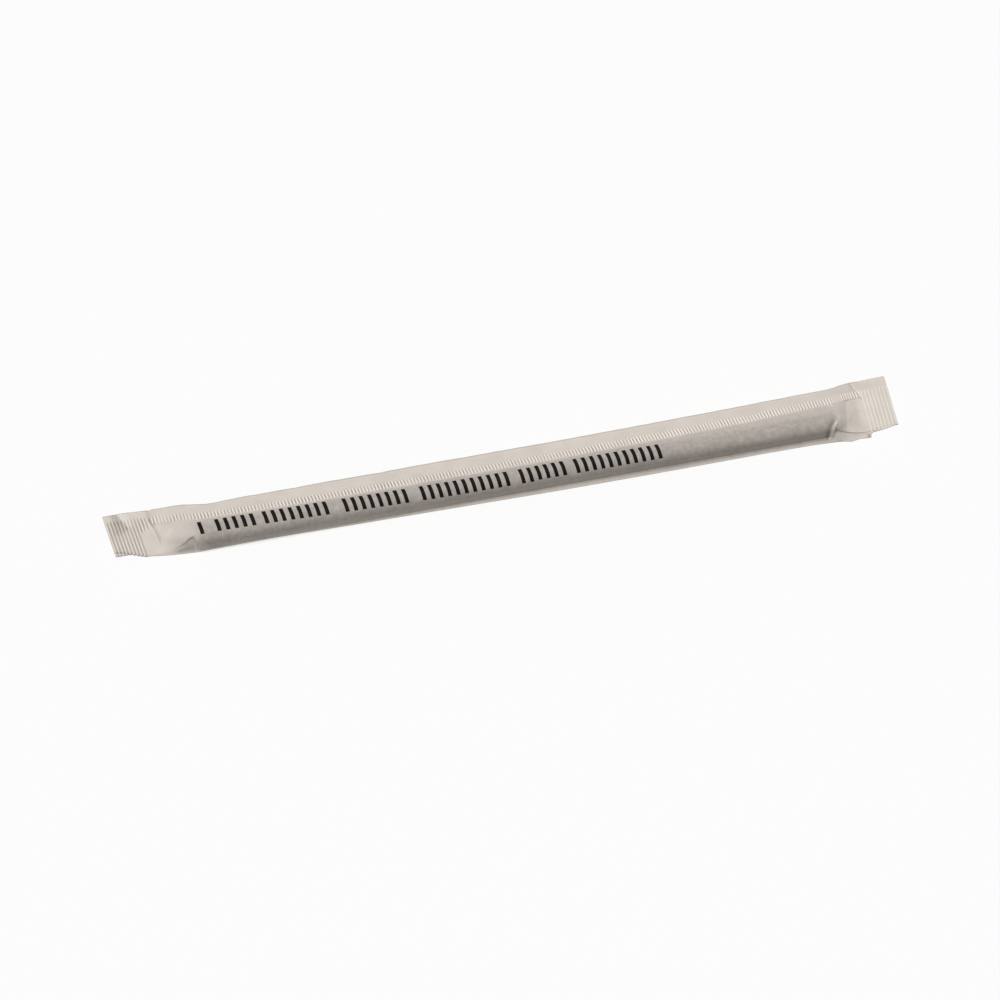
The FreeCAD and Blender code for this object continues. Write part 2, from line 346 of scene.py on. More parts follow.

# %% [markdown]
# Now the relief of the paper. Ribs pressed by a toothed roller close both ends and the seam. They could be
# a bump in the material, but then the outline and the exported mesh would lose them, so they are real.
# Every function below takes places on the sleeve and returns how far the paper rises there, and the light
# and shade painted there: a painted highlight on a crest, and painted shade in a groove. Small irregular
# waves keep it from looking machine-perfect.

# %% Waves and grooves
LEFT_PITCH, RIGHT_PITCH, SEAM_PITCH = 1.012, 1.24, 1.023
LEFT_RIB_HEIGHT, RIGHT_RIB_HEIGHT, SEAM_RIB_HEIGHT = 0.34, 0.17, 0.32
# Strength of the painted highlight on the ribs' crests and the painted shade in their grooves
LEFT_RIB_LIGHT_AND_SHADE, RIGHT_RIB_LIGHT_AND_SHADE, SEAM_RIB_LIGHT_AND_SHADE = 0.50, 0.20, 0.72
LEFT_PHASE, RIGHT_PHASE, SEAM_PHASE = 0.16, -0.29, 0.81     # where the first groove stands
SEAM_LEAN = -0.10                   # the seam's ribs lean along x for each mm across


def waves(x, y, seed, size):
    """A smooth irregular field between about -1 and 1, with bumps of roughly the given size in mm."""
    total = np.zeros(np.broadcast(x, y).shape)
    for k in range(5):
        angle = seed * 1.7 + k * 2.399
        stride = 2 * math.pi / (size * (0.75 + 0.25 * k))
        along = x * math.cos(angle) + y * math.sin(angle)
        total = total + np.sin(along * stride + seed * 3.1 + k * 1.3) / 5
    return total * 1.4


def into_crimp(x, y):
    """How far a place lies inside the left and the right crimp, in mm."""
    return LEFT_CRIMP - (x - LEFT_LEAN * y), (x - RIGHT_LEAN * y) - RIGHT_CRIMP


def groove(distance, pitch):
    """A round crest with a sharp groove at every whole pitch."""
    return np.abs(np.sin(math.pi * distance / pitch))


def crest_highlight_groove_shade(crest, middle):
    """The painted light and shade of a rib: a painted highlight on the crest and painted shade in the groove;
    middle is the neutral share.
    """
    return fade(crest, 0.4, 0.95) - middle


print("waves at the origin:", waves(np.zeros(1), np.zeros(1), 1, 7.0).round(3))

# %% [markdown]
# The crimp of each end is nine long ribs across the whole width, parallel to the cut edge. On the left they
# are deep, on the right shallow, and behind the lap they start a few ribs earlier on the left. They could be
# strips of their own, but a wave added to the sheet's height keeps it one sheet, as the real one is.

# %% Ribs of the ends


def end_ribs(x, y):
    """The long ribs of both end crimps: how far they rise, and the light and shade painted on them."""
    left, right = into_crimp(x, y)
    first = 0.1 - 3.7 * fade(y, 7.0, 8.6)
    left_crest = groove(left + LEFT_PHASE, LEFT_PITCH)
    left_strength = fade(left, first, first + 0.6) * (0.9 + 0.2 * waves(x, y, 1, 7.0))
    right_crest = groove(right + RIGHT_PHASE, RIGHT_PITCH)
    right_strength = 0.2 * fade(right, 0, 0.5) + 0.8 * fade(right, 1.2, 2.0)
    right_strength = right_strength * (0.9 + 0.2 * waves(x, y, 2, 6.0))
    height = LEFT_RIB_HEIGHT * left_crest * left_strength + RIGHT_RIB_HEIGHT * right_crest * right_strength
    # Painted highlight on each crest and painted shade in each groove
    painted_light_and_shade = LEFT_RIB_LIGHT_AND_SHADE * crest_highlight_groove_shade(left_crest, 0.52) * left_strength
    painted_light_and_shade = painted_light_and_shade + RIGHT_RIB_LIGHT_AND_SHADE * crest_highlight_groove_shade(right_crest, 0.45) * right_strength
    # Painted shade over the whole left crimp, and painted light over the right one
    painted_light_and_shade = painted_light_and_shade - 0.08 * fade(left, first, first + 1.5) + 0.07 * fade(right, 0.5, 2.5)
    return height, painted_light_and_shade


print("rib heights", LEFT_RIB_HEIGHT, RIGHT_RIB_HEIGHT, "pitches", LEFT_PITCH, RIGHT_PITCH)

# %% [markdown]
# The seam has about 240 short ribs in a row behind the free edge. They fade out towards the rear, where the
# roller pressed less, and two short stretches beside the straw's ends are weak, where the paper was slack.
# Copies of one rib would all look alike. Here one wave along x makes them all, and slower waves vary it.

# %% Ribs of the seam


def seam_ribs(x, y, behind):
    """The ribs of the lap: short ones in a row along the seam, the long ones of the crimps at the ends."""
    lean = SEAM_LEAN * (1 - 1.1 * fade(x, 70, HALF_STRAW))
    crest = groove(x + SEAM_PHASE - lean * behind, SEAM_PITCH)
    strength = 0.9 + 0.25 * waves(x, y * 0, 5, 9.0) + 0.2 * waves(x, y * 0, 6, 2.3)
    faded = 1 - 0.55 * window(x - HALF_STRAW, 1.5, 2.5, 5.5, 6.5)
    faded = faded * (1 - 0.5 * window(-x - HALF_STRAW, 8, 9, 12, 13))
    strength = np.clip(strength, 0.3, 1.2) * faded * fade(behind, -0.1, 0.35)
    left, right = into_crimp(x, y)
    crimped = np.maximum(fade(left, -3.8, -3.0), fade(right, 1.0, 1.8))
    row_end = RIB_ROW + 0.4 * fade(-x, HALF_STRAW, HALF_STRAW + 15) + 0.15 * waves(x, y * 0, 7, 3.0)
    in_row = 1 - fade(behind, row_end - 0.9, row_end + 0.1)
    end_height, end_light_and_shade = end_ribs(x, y)
    height = SEAM_RIB_HEIGHT * crest * strength * (1 - crimped) + end_height * crimped
    neutral = 0.50 - 0.09 * fade(x, -20, 60)
    # Painted highlight on the seam's crests and painted shade in its grooves; neutral sets the balance
    painted_light_and_shade = SEAM_RIB_LIGHT_AND_SHADE * crest_highlight_groove_shade(crest, neutral) * strength * (1 - crimped) + end_light_and_shade * crimped
    return height * in_row, painted_light_and_shade * in_row


print("seam ribs", round((RIGHT_TIP - LEFT_TIP) / SEAM_PITCH))

# %% [markdown]
# Handling left sharp creases in both tails. They could be sculpted, but a list of straight lines between two
# places is short, and each one can be set beside the real crease and moved. A ridge stands up, a valley
# dips, and a bank is a slope after which the sheet stays higher on the line's right side. Each also gets
# painted light and shade on its two sides: a painted highlight where a flank would catch the light, and
# painted shade where it turns away. A shade only paints a patch lighter or darker, as painted light or
# shade, and doesn't raise it.

# %% Creases and pleats
CREASES = [
    # kind, from (x, y), up to (x, y), height, width, painted light (+) or shade (-) on its left side, and on
    # its right side
    ("bank", (-121.2, 9.6), (-124.6, 17.0), 0.22, 1.2, -0.16, 0.14),
    ("valley", (-114.5, 10.8), (-114.9, 15.5), 0.40, 1.1, -0.22, -0.08),
    ("valley", (-113.5, 7.8), (-114.5, 11.2), 0.30, 0.9, -0.20, 0.00),
    ("ridge", (-113.7, 5.7), (-114.7, 9.8), 0.40, 1.2, 0.14, -0.28),
    ("ridge", (-112.8, 2.0), (-113.7, 5.7), 0.45, 1.3, 0.14, -0.28),
    ("ridge", (-112.8, 0.2), (-112.8, 2.4), 0.25, 0.8, 0.08, -0.12),
    ("valley", (112.7, 13.2), (112.0, 17.2), 0.40, 0.9, -0.18, 0.08),
    ("valley", (113.6, 9.8), (112.7, 13.6), 0.25, 0.7, -0.15, 0.08),
    ("valley", (103.4, -3.8), (107.2, 8.2), 0.45, 2.6, -0.03, 0.05),
    ("valley", (97.0, -3.6), (99.6, -1.2), 0.00, 1.1, -0.30, -0.30),
    ("ridge", (97.6, -4.0), (100.3, -1.9), 0.50, 0.6, 0.85, 0.85),
    ("shade", (-124.4, 8.0), (-125.6, 17.5), 0.00, 1.5, -0.16, -0.16),
    ("shade", (-114.0, -2.0), (-108.5, 4.5), 0.00, 1.6, 0.05, 0.05),
    ("shade", (102.5, -2.5), (104.2, 11.0), 0.00, 2.2, 0.05, 0.05),
]


def line_frame(x, y, start, end):
    """Distance across a line, signed, and the share of the way along it."""
    direction = np.array(end) - np.array(start)
    length = np.hypot(*direction)
    ux, uy = direction / length
    along = ((x - start[0]) * ux + (y - start[1]) * uy) / length
    across = (x - start[0]) * uy - (y - start[1]) * ux
    return across, along


def creases(x, y):
    """How far all creases raise the upper sheet, and the light and shade painted along them."""
    rise, painted_light_and_shade = np.zeros_like(x), np.zeros_like(x)
    for kind, start, end, height, width, left, right in CREASES:
        across, along = line_frame(x, y, start, end)
        ends = window(along, -0.1, 0.1, 0.9, 1.1)
        tent = np.clip(1 - np.abs(across) / width, 0, 1)
        # Each side of the line gets its own painted light or shade
        side = left + (right - left) * fade(across, -0.15, 0.15)
        if kind == "bank":
            step = height * fade(across, -width / 2, width / 2)
            rise = rise + step * (1 - fade(across, width, 6 * width)) * ends
            tent = np.clip(1.5 - np.abs(across) / width / 1.5, 0, 1)
        elif kind == "shade":
            tent = np.exp(-(across / width) ** 2)
        else:
            rise = rise + (height if kind == "ridge" else -height) * tent * ends
        painted_light_and_shade = painted_light_and_shade + side * tent * ends
    return rise, painted_light_and_shade


print("creases", len(CREASES))

# %% [markdown]
# The rest of the relief is soft: the slow waves of a sheet that isn't quite taut, and the ear beside the
# straw's right end, with a few tiny ribs and a curled last corner. A sculpting brush could do this, but the
# same sum of waves as above gives the dents, and gives the same ones in every run.

# %% Slack and ear
LONG_WAVES, DENTS, SMALL_DENTS = 0.10, 0.05, 0.03       # heights
TAUT = 0.85                 # share of the slack that is gone where the sheet lies on the straw
# The ear's ribs: height, pitch, and their painted light and shade; the curled corner: height and painted
# shade
EAR_RIB_HEIGHT, EAR_RIB_PITCH, EAR_RIB_LIGHT_AND_SHADE = 0.18, 0.75, 0.35
CURL_HEIGHT, CURL_SHADE = 0.5, 0.38


def slack(x, y):
    """The slow waves of the sheet: long ones along the sleeve and small dents."""
    long_waves = LONG_WAVES * waves(x * 0.35, y, 11, 6.0)
    dents = DENTS * waves(x, y, 12, 4.5) + SMALL_DENTS * waves(x, y, 13, 2.2)
    return long_waves + dents


def ear(x, y):
    """Tiny ribs on the strip beside the straw's right end, and the strip's curled last corner, with painted
    light on the ribs and painted shade over the ear and its corner.
    """
    profile = 0.5 - 0.5 * np.cos(2 * math.pi * (x + 0.4 * y) / EAR_RIB_PITCH)
    here = window(x - HALF_STRAW, -1.6, -1.2, 1.2, 2.0)
    curl = np.exp(-((x - RIGHT_CRIMP) / 0.5) ** 2 - ((y + 5.6) / 0.7) ** 2)
    on_ear = 1 - fade(y, -3.4, -2.9)
    ribs = profile * here * on_ear
    # Painted light on the ribs' crests, painted shade over the ear, and painted shade on the curled corner
    painted_light_and_shade = EAR_RIB_LIGHT_AND_SHADE * (ribs - 0.4 * here) * on_ear - CURL_SHADE * curl
    return EAR_RIB_HEIGHT * ribs + CURL_HEIGHT * curl, painted_light_and_shade


def relief(x, y, z):
    """The creases and the slack of the sheet, which lies tight on the straw and on the table."""
    on_straw = fade(HALF_STRAW - np.abs(x), -1.0, 1.5) * (1 - fade(y, 1.5, 4.0))
    rise, painted_light_and_shade = creases(x, y)
    return rise + slack(x, y) * (1 - TAUT * on_straw) * np.clip(z, 0, 1), painted_light_and_shade


print("slack at the origin:", slack(np.zeros(1), np.zeros(1)).round(3), "mm")

# %% [markdown]
# The black straw shows through the thin paper: clearly where it touches, faintly where a gap lies between.
# The faint part is partly painted shade of the dim hollow inside the sleeve.
# Translucent paper could be rendered for real, but it is slow and noisy, and the exported model would lose
# it. So each point of the mesh keeps a number for it, worked out from its distance to the straw.

# %% How the straw shows through
TOUCH_SHARE, TOUCH_REACH = 0.42, 0.35       # the sharp part: its strength, and how far it reaches in mm
# the soft part also stands for painted shade of the dim hollow between paper and straw
NEAR_SHARE, NEAR_REACH = 0.58, 4.0          # the soft part


def straw_gap(x, y, z):
    """Distance from a place to the straw's surface."""
    radial = np.hypot(y, z - HUMP_RADIUS) - STRAW_RADIUS
    axial = np.clip(np.abs(x) - HALF_STRAW, 0, None)
    return np.hypot(np.clip(radial, 0, None), axial)


def show_through(x, y, z, layers):
    """How much the black straw darkens the paper, 0 to 1: clear where it touches, faint where it is near."""
    gap = straw_gap(x, y, z)
    shown = TOUCH_SHARE * np.exp(-gap / TOUCH_REACH) + NEAR_SHARE * np.exp(-gap / NEAR_REACH)
    return shown * layers


on_top = show_through(np.zeros(1), np.zeros(1), np.array([BODY_HEIGHT]), 1.0)
print("shown on top of the straw:", on_top.round(2))

# %% [markdown]
# The mesh joins two grids: the skin all round, and the lap on top of it. Columns stand close where there
# are ribs and folds, and wide over the straw, so that the detail is where it is seen. The relief moves
# each point square to the sheet, as a press does.

# %% Helpers for grids
LEFT_TAIL_STEP, BODY_STEP, RIGHT_TAIL_STEP = 0.24, 0.6, 0.22        # from column to column


def columns_between(start, end, spacing):
    """Evenly spaced columns, both ends in."""
    return np.linspace(start, end, max(2, int(round((end - start) / spacing)) + 1))


def skin_columns():
    """Fine columns over the crimps and tails, coarser ones over the straw."""
    return np.unique(np.concatenate([
        columns_between(LEFT_TIP, LEFT_CRIMP + 1, LEFT_PITCH / 7),
        columns_between(LEFT_CRIMP + 1, -HALF_STRAW + 2, LEFT_TAIL_STEP),
        columns_between(-HALF_STRAW + 2, HALF_STRAW - 4, BODY_STEP),
        columns_between(HALF_STRAW - 4, RIGHT_CRIMP - 1, RIGHT_TAIL_STEP),
        columns_between(RIGHT_CRIMP - 1, RIGHT_TIP, RIGHT_PITCH / 8),
    ]))


def raised(points, rise):
    """Section points moved square to the sheet."""
    run = np.roll(points, -1, axis=1) - np.roll(points, 1, axis=1)
    run[:, 0] = points[:, 1] - points[:, 0]
    run[:, -1] = points[:, -1] - points[:, -2]
    run /= np.maximum(np.linalg.norm(run, axis=-1, keepdims=True), 1e-6)
    return points + np.stack([-run[..., 1], run[..., 0]], axis=-1) * rise[..., None]


def placed(x, points, section):
    """Points in space, in mm, from columns and section points."""
    y = points[..., 0]
    return x[:, None] + section["lean"][:, None] * y, y.copy(), points[..., 1].copy()


def grid_faces(columns, points, closed, first):
    """Quads of a grid whose points run along each column."""
    i = np.arange(columns - 1)[:, None]
    j = np.arange(points if closed else points - 1)[None, :]
    k = (j + 1) % points
    a, b = first + i * points + j, first + i * points + k
    c, d = first + (i + 1) * points + k, first + (i + 1) * points + j
    return np.stack([a, d, c, b], axis=-1).reshape(-1, 4)


print("skin columns", len(skin_columns()))

# %% [markdown]
# Some places are painted darker than the light alone makes them, as painted shade: the strip and the wall in
# front of the straw, which lie in a narrow fold; the hump's front side, which faces away from the light
# overhead; and a thin painted shadow of the lap's edge on the sheet before it.
# They could be painted by hand. Here they are worked out from the place in the section, so that they follow
# the folds when these are moved, and each point keeps its own.

# %% Painted shade of the skin
# Painted shade, as shares of plain paper's colour
STRIP_SHADES = (0.04, 0.24)                 # from the front fold to the toe
WALL_SHADE, SIDE_SHADE, LAP_SHADE = 0.10, 0.10, 0.05
# Painted shade on the pleat's wall from toe to brow: darker at the foot, painted lighter above, and a painted
# shadow line under the brow
PLEAT_SHADES = (0.13, 0.05, -0.05, -0.12, -0.16, -0.10, 0.18)


def painted_skin_shade(x, y, z, free_edge, upper):
    """How much painted shade darkens each point of the skin below plain paper."""
    count = SKIN_COUNTS
    top_start = count["front_fold"]
    strip_end = top_start + count["strip"]
    wall = slice(strip_end, strip_end + count["wall"])
    pleat = window(x + HALF_STRAW, -10, -7, -3.2, -2.2)
    front = np.zeros_like(z)
    front[:, top_start:strip_end] = np.linspace(*STRIP_SHADES, count["strip"])[None, :]
    front[:, wall] = WALL_SHADE + pleat[:, wall] * np.array(PLEAT_SHADES)[None, :]
    body = fade(HALF_STRAW - np.abs(x), 0.0, 2.0)
    # Painted shade on the hump's front side, and a thin painted shadow before the lap's edge
    side = SIDE_SHADE * fade(-y, 1.6, 2.8) * window(z, 0.5, 1.2, 3.6, 5.2)
    before_lap = LAP_SHADE * fade(y, free_edge - 2.2, free_edge - 0.3)
    strength = np.maximum((1.1 + 0.5 * fade(x, 10, 60)) * body, 1.4 * pleat)
    return (side + before_lap) * body * upper + front * np.maximum(strength, 0.35)


print("pleat shades", PLEAT_SHADES)

# %% [markdown]
# The skin's grid takes its sections, adds relief and ribs, and keeps three numbers for each point: how much
# of the straw shows, how far from the hump's top it lies along the paper, which places the printed bars, and
# the light and shade painted on it. At the crimps the front fold moves with the ribs, so its outline is
# serrated.

# %% The skin's grid
SERRATION = 1.7             # how far the front fold moves out, as a multiple of the ribs' height
LAP_HIDES = 0.9             # share of the straw's show that the lap hides
UNPRINTED = -50.0           # a height that no bar reaches


def skin_grid():
    """The closed tube of the sleeve."""
    x0 = skin_columns()
    section = sections_at(x0)
    points = skin_sections(section)
    x, y, z = placed(x0, points, section)
    count = SKIN_COUNTS
    top_start = count["front_fold"]
    top_end = top_start + sum(count[name] for name in ("strip", "wall", "shoulder", "hump", "wing"))
    upper = np.zeros_like(z)
    upper[:, top_start:top_end] = 1
    free_edge = (HUMP_RADIUS + section["wing"] - section["reach"])[:, None]
    under_lap = fade(y, free_edge - 0.05, free_edge + 0.3) * upper
    left, right = into_crimp(x, y)
    crimped = np.maximum(fade(left, -0.2, 0.4), fade(right, -0.2, 0.4))
    shown = show_through(x, y, z, 1 - LAP_HIDES * under_lap)
    length = np.hypot(*np.moveaxis(np.diff(points, axis=1), -1, 0))
    length = np.concatenate([np.zeros((len(x0), 1)), np.cumsum(length, axis=1)], axis=1)
    crest = np.argmax(points[..., 1][:, :top_end - count["wing"] + 1], axis=1)
    from_top = length[np.arange(len(x0)), crest][:, None] - length
    rise, painted_light_and_shade = relief(x, y, z)
    ear_rise, ear_light_and_shade = ear(x, y)
    rise = (rise + ear_rise - 0.06 * under_lap) * upper
    # Painted light and shade of the creases and the ear, less the painted shade of the skin
    painted_light_and_shade = painted_light_and_shade - painted_skin_shade(x, y, z, free_edge, upper) + ear_light_and_shade * upper
    x, y, z = placed(x0, raised(points, rise), section)
    ribs, rib_light_and_shade = end_ribs(x, y)
    z = z + ribs * (1 - under_lap) * np.maximum(upper, crimped)
    y[:, :top_start] -= SERRATION * ribs[:, :top_start]
    return x, y, z, shown, np.where(upper > 0, from_top, UNPRINTED), painted_light_and_shade + rib_light_and_shade


print("skin grid", skin_grid()[0].shape)

# %% [markdown]
# The lap's grid is made the same way. Two sheets and the glue hide the straw almost wholly. The pressed
# rear fold gets a painted highlight line before it and a painted shade line on it, where the paper rolls
# over.

# %% The lap's grid
LAP_SHOWS = 0.06            # share of the straw's show that is left on the lap
# Painted highlight line before the rear fold, and painted shade line on it
FOLD_HIGHLIGHT, FOLD_SHADE = 0.05, 0.40


def lap_grid():
    """The lapped strip with its row of ribs."""
    x0 = columns_between(LEFT_TIP, RIGHT_TIP, SEAM_PITCH / 6)
    section = sections_at(x0)
    points, behind = lap_sections(section)
    x, y, z = placed(x0, points, section)
    rise, painted_light_and_shade = relief(x, y, z)
    ribs, rib_light_and_shade = seam_ribs(x, y, behind)
    rise = rise + ribs
    rise[:, -LAP_COUNTS["fold"]:] *= np.linspace(1, 0, LAP_COUNTS["fold"])[None, :]
    before_fold = section["reach"][:, None] - behind
    painted_highlight_line = FOLD_HIGHLIGHT * window(before_fold, 0.0, 0.3, 0.5, 1.0)
    painted_shade_line = FOLD_SHADE * (1 - fade(before_fold, -0.2, 0.38))
    x, y, z = placed(x0, raised(points, rise), section)
    shown = show_through(x, y, z, np.full_like(z, LAP_SHOWS))
    return x, y, z, shown, np.full_like(z, UNPRINTED), painted_light_and_shade + rib_light_and_shade + painted_highlight_line - painted_shade_line


print("lap grid", lap_grid()[0].shape)

# %% [markdown]
# Both grids become one mesh, because the sleeve is one sheet of paper. It keeps the numbers of each point
# as attributes, which the material reads. It takes the place of the plain solid, and rides on the same body.

# %% The paper sleeve
SHARP_ANGLE = math.radians(50)      # steeper edges, such as the cut ends, stay sharp


def sleeve_mesh():
    """One mesh from both grids, in metres in the model's frame."""
    corners, faces, shows, prints, painted_lights_and_shades = [], [], [], [], []
    first = 0
    for grid, closed in ((skin_grid(), True), (lap_grid(), False)):
        x, y, z, show, from_top, painted_light_and_shade = grid
        columns, points = x.shape
        place = np.stack([x, y, np.maximum(z, 0)], axis=-1).reshape(-1, 3) * MM + np.array(ORIGIN)
        corners.append(place)
        faces.append(grid_faces(columns, points, closed, first))
        shows.append(show.reshape(-1))
        prints.append(from_top.reshape(-1))
        painted_lights_and_shades.append(painted_light_and_shade.reshape(-1))
        if closed:
            caps = [list(range(first, first + points)),
                    list(range(first + (columns - 1) * points, first + columns * points))[::-1]]
        first += columns * points
    mesh = bpy.data.meshes.new("paper_sleeve")
    mesh.from_pydata(np.concatenate(corners).tolist(), [], np.concatenate(faces).tolist() + caps)
    mesh.validate()
    # The painted light and shade of each point is kept as an attribute, which the material reads
    for name, parts in (("show_through", shows), ("print_height", prints), ("painted_light_and_shade", painted_lights_and_shades)):
        attribute = mesh.attributes.new(name, "FLOAT", "POINT")
        attribute.data.foreach_set("value", np.concatenate(parts).astype(np.float32))
    mesh.shade_smooth()
    mesh.set_sharp_from_angle(angle=SHARP_ANGLE)
    return mesh


sleeve = bpy.data.objects.new("paper_sleeve", sleeve_mesh())
bpy.context.scene.collection.objects.link(sleeve)
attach(sleeve, "root")
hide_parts("paper_wrapper")
print("triangles of the sleeve", sum(len(face.vertices) - 2 for face in sleeve.data.polygons))

# %% [markdown]
# Materials are node graphs. A few small helpers keep their code short: they make a node, link or set a
# socket, and return the output that the next node needs.

# %% Helpers for node graphs


def new_material(name):
    """A node material that holds only its shader and its output."""
    material = bpy.data.materials.new(name)
    material.use_nodes = True
    tree = material.node_tree
    tree.nodes.clear()
    output = tree.nodes.new("ShaderNodeOutputMaterial")
    shader = tree.nodes.new("ShaderNodeBsdfPrincipled")
    tree.links.new(shader.outputs["BSDF"], output.inputs["Surface"])
    return material, tree, shader


def node(tree, kind, **settings):
    """A node with its settings."""
    made = tree.nodes.new(kind)
    for name, value in settings.items():
        setattr(made, name, value)
    return made


def feed(tree, socket, value):
    """Link a socket to another one, or give it a plain value."""
    if isinstance(value, bpy.types.NodeSocket):
        tree.links.new(value, socket)
    else:
        socket.default_value = value


def math_node(tree, operation, *values):
    """A math node over sockets or numbers."""
    made = node(tree, "ShaderNodeMath", operation=operation)
    for socket, value in zip(made.inputs, values):
        feed(tree, socket, value)
    return made.outputs[0]


def smooth_step(tree, value, low, high):
    """A mask that goes from 0 at low to 1 at high."""
    made = node(tree, "ShaderNodeMapRange", interpolation_type="SMOOTHSTEP", clamp=True)
    for name, number in (("Value", value), ("From Min", low), ("From Max", high)):
        feed(tree, made.inputs[name], number)
    return made.outputs["Result"]


def blend(tree, factor, low, high):
    """A mix of two colours."""
    made = node(tree, "ShaderNodeMix", data_type="RGBA")
    feed(tree, made.inputs["Factor"], factor)
    feed(tree, made.inputs["A"], low)
    feed(tree, made.inputs["B"], high)
    return made.outputs["Result"]


def noise(tree, place, scale, detail, roughness=0.5):
    """A noise value over a place."""
    made = node(tree, "ShaderNodeTexNoise")
    feed(tree, made.inputs["Vector"], place)
    feed(tree, made.inputs["Scale"], scale)
    made.inputs["Detail"].default_value = detail
    made.inputs["Roughness"].default_value = roughness
    return made.outputs["Fac"]


print("helpers are ready for", bpy.app.version_string)

# %% [markdown]
# Paper and plastic both have a grain: wide soft clouds with fine specks over them. It is one node group
# with its own inputs, so each material places it with its own sizes and contrast.

# %% The grain group


def grain_group():
    """Inputs: place, cloud and speck scales, contrast. Outputs: tone, around 1, and height, 0 to 1."""
    group = bpy.data.node_groups.new("grain", "ShaderNodeTree")
    group.interface.new_socket("Place", in_out="INPUT", socket_type="NodeSocketVector")
    for name in ("Cloud Scale", "Speck Scale", "Contrast"):
        group.interface.new_socket(name, in_out="INPUT", socket_type="NodeSocketFloat")
    for name in ("Tone", "Height"):
        group.interface.new_socket(name, in_out="OUTPUT", socket_type="NodeSocketFloat")
    given = node(group, "NodeGroupInput").outputs
    result = node(group, "NodeGroupOutput").inputs
    clouds = noise(group, given["Place"], given["Cloud Scale"], 4)
    specks = noise(group, given["Place"], given["Speck Scale"], 5, 0.75)
    height = math_node(group, "MULTIPLY", math_node(group, "ADD", clouds, specks), 0.5)
    uneven = math_node(group, "MULTIPLY", math_node(group, "SUBTRACT", height, 0.5), given["Contrast"])
    feed(group, result["Tone"], math_node(group, "ADD", uneven, 1.0))
    feed(group, result["Height"], height)
    return group


GRAIN = grain_group()


def grain(tree, place, clouds, specks, contrast):
    """The grain group in a material, with its values."""
    made = node(tree, "ShaderNodeGroup", node_tree=GRAIN)
    feed(tree, made.inputs["Place"], place)
    for name, value in (("Cloud Scale", clouds), ("Speck Scale", specks), ("Contrast", contrast)):
        made.inputs[name].default_value = value
    return made.outputs


print("group", GRAIN.name, [item.name for item in GRAIN.interface.items_tree])

# %% [markdown]
# The sleeve has one printed line over the straw. Here it is a plain row of slanted bars, in seven groups of
# different length. An image could hold them, but bars worked out from the place on the sheet stay sharp at
# any distance, and follow the paper wherever it bends.

# %% Printed bars
# Each group: where it starts along x, and its number of bars
BAR_GROUPS = ((-100.6, 1), (-95.4, 5), (-81.0, 8), (-56.6, 8), (-32.8, 11), (-1.8, 6), (15.6, 11))
BAR_PITCH = 2.62
BAR_SHARE = 0.46            # share of the pitch that is ink
BAR_LEAN = -0.12            # along x for each mm of height
BAR_HEIGHT = 5.2
BAR_DRIFT = (-110, -15)     # between these places along x the row moves across the straw
BAR_LOW, BAR_RISE = -0.85, 2.0      # where it starts, and how far it moves


def bar_mask(tree, along, height):
    """1 where the row of slanted bars has ink, and 0 elsewhere."""
    leaning = math_node(tree, "MULTIPLY_ADD", height, BAR_LEAN, along)
    bars = None
    for start, count in BAR_GROUPS:
        end = start + count * BAR_PITCH - 0.5
        local = math_node(tree, "SUBTRACT", leaning, start)
        phase = math_node(tree, "FRACT", math_node(tree, "DIVIDE", local, BAR_PITCH))
        bar = math_node(tree, "LESS_THAN", phase, BAR_SHARE)
        after = math_node(tree, "GREATER_THAN", leaning, start)
        before = math_node(tree, "LESS_THAN", leaning, end)
        group = math_node(tree, "MULTIPLY", bar, math_node(tree, "MULTIPLY", after, before))
        bars = group if bars is None else math_node(tree, "MAXIMUM", bars, group)
    return bars


def ink_mask(tree, along, height):
    """The bars, cut off at their height, on a middle line that drifts across the straw."""
    drift = smooth_step(tree, along, *BAR_DRIFT)
    middle_line = math_node(tree, "MULTIPLY_ADD", drift, BAR_RISE, BAR_LOW)
    from_middle = math_node(tree, "SUBTRACT", height, middle_line)
    inside = math_node(tree, "LESS_THAN", math_node(tree, "ABSOLUTE", from_middle), BAR_HEIGHT / 2)
    return math_node(tree, "MULTIPLY", inside, bar_mask(tree, along, from_middle))


print("bars", sum(count for start, count in BAR_GROUPS))

# %% [markdown]
# The paper is thin, uncoated and slightly warm. Its colour starts as plain paper, turns to the grey of the
# straw behind it by the number that each point keeps, is toned by grain and by the light and shade painted
# on each point, and last takes the ink.
# A faint bump of the same grain gives it tooth. Paper has little gloss, so its roughness is high. A scanned
# paper texture would do too, but it needs a flat map of the folded sheet, and would repeat along it.

# %% Paper
PAPER_COLOUR = (0.600, 0.545, 0.492, 1)
BACKED_COLOUR = (0.350, 0.318, 0.290, 1)    # where the black straw lies right behind it
INK_COLOUR = (0.004, 0.0035, 0.0035, 1)
FIBRES = (160, 1500, 0.42)          # cloud scale, speck scale, contrast
BLOTCHES = (650, 1500, 2.4)         # closer clouds, where the straw shows through
PAPER_ROUGHNESS, PAPER_GLOSS = 0.7, 0.15
TOOTH, TOOTH_DEPTH = 0.35, 0.0001   # strength of the bump, and its depth in metres


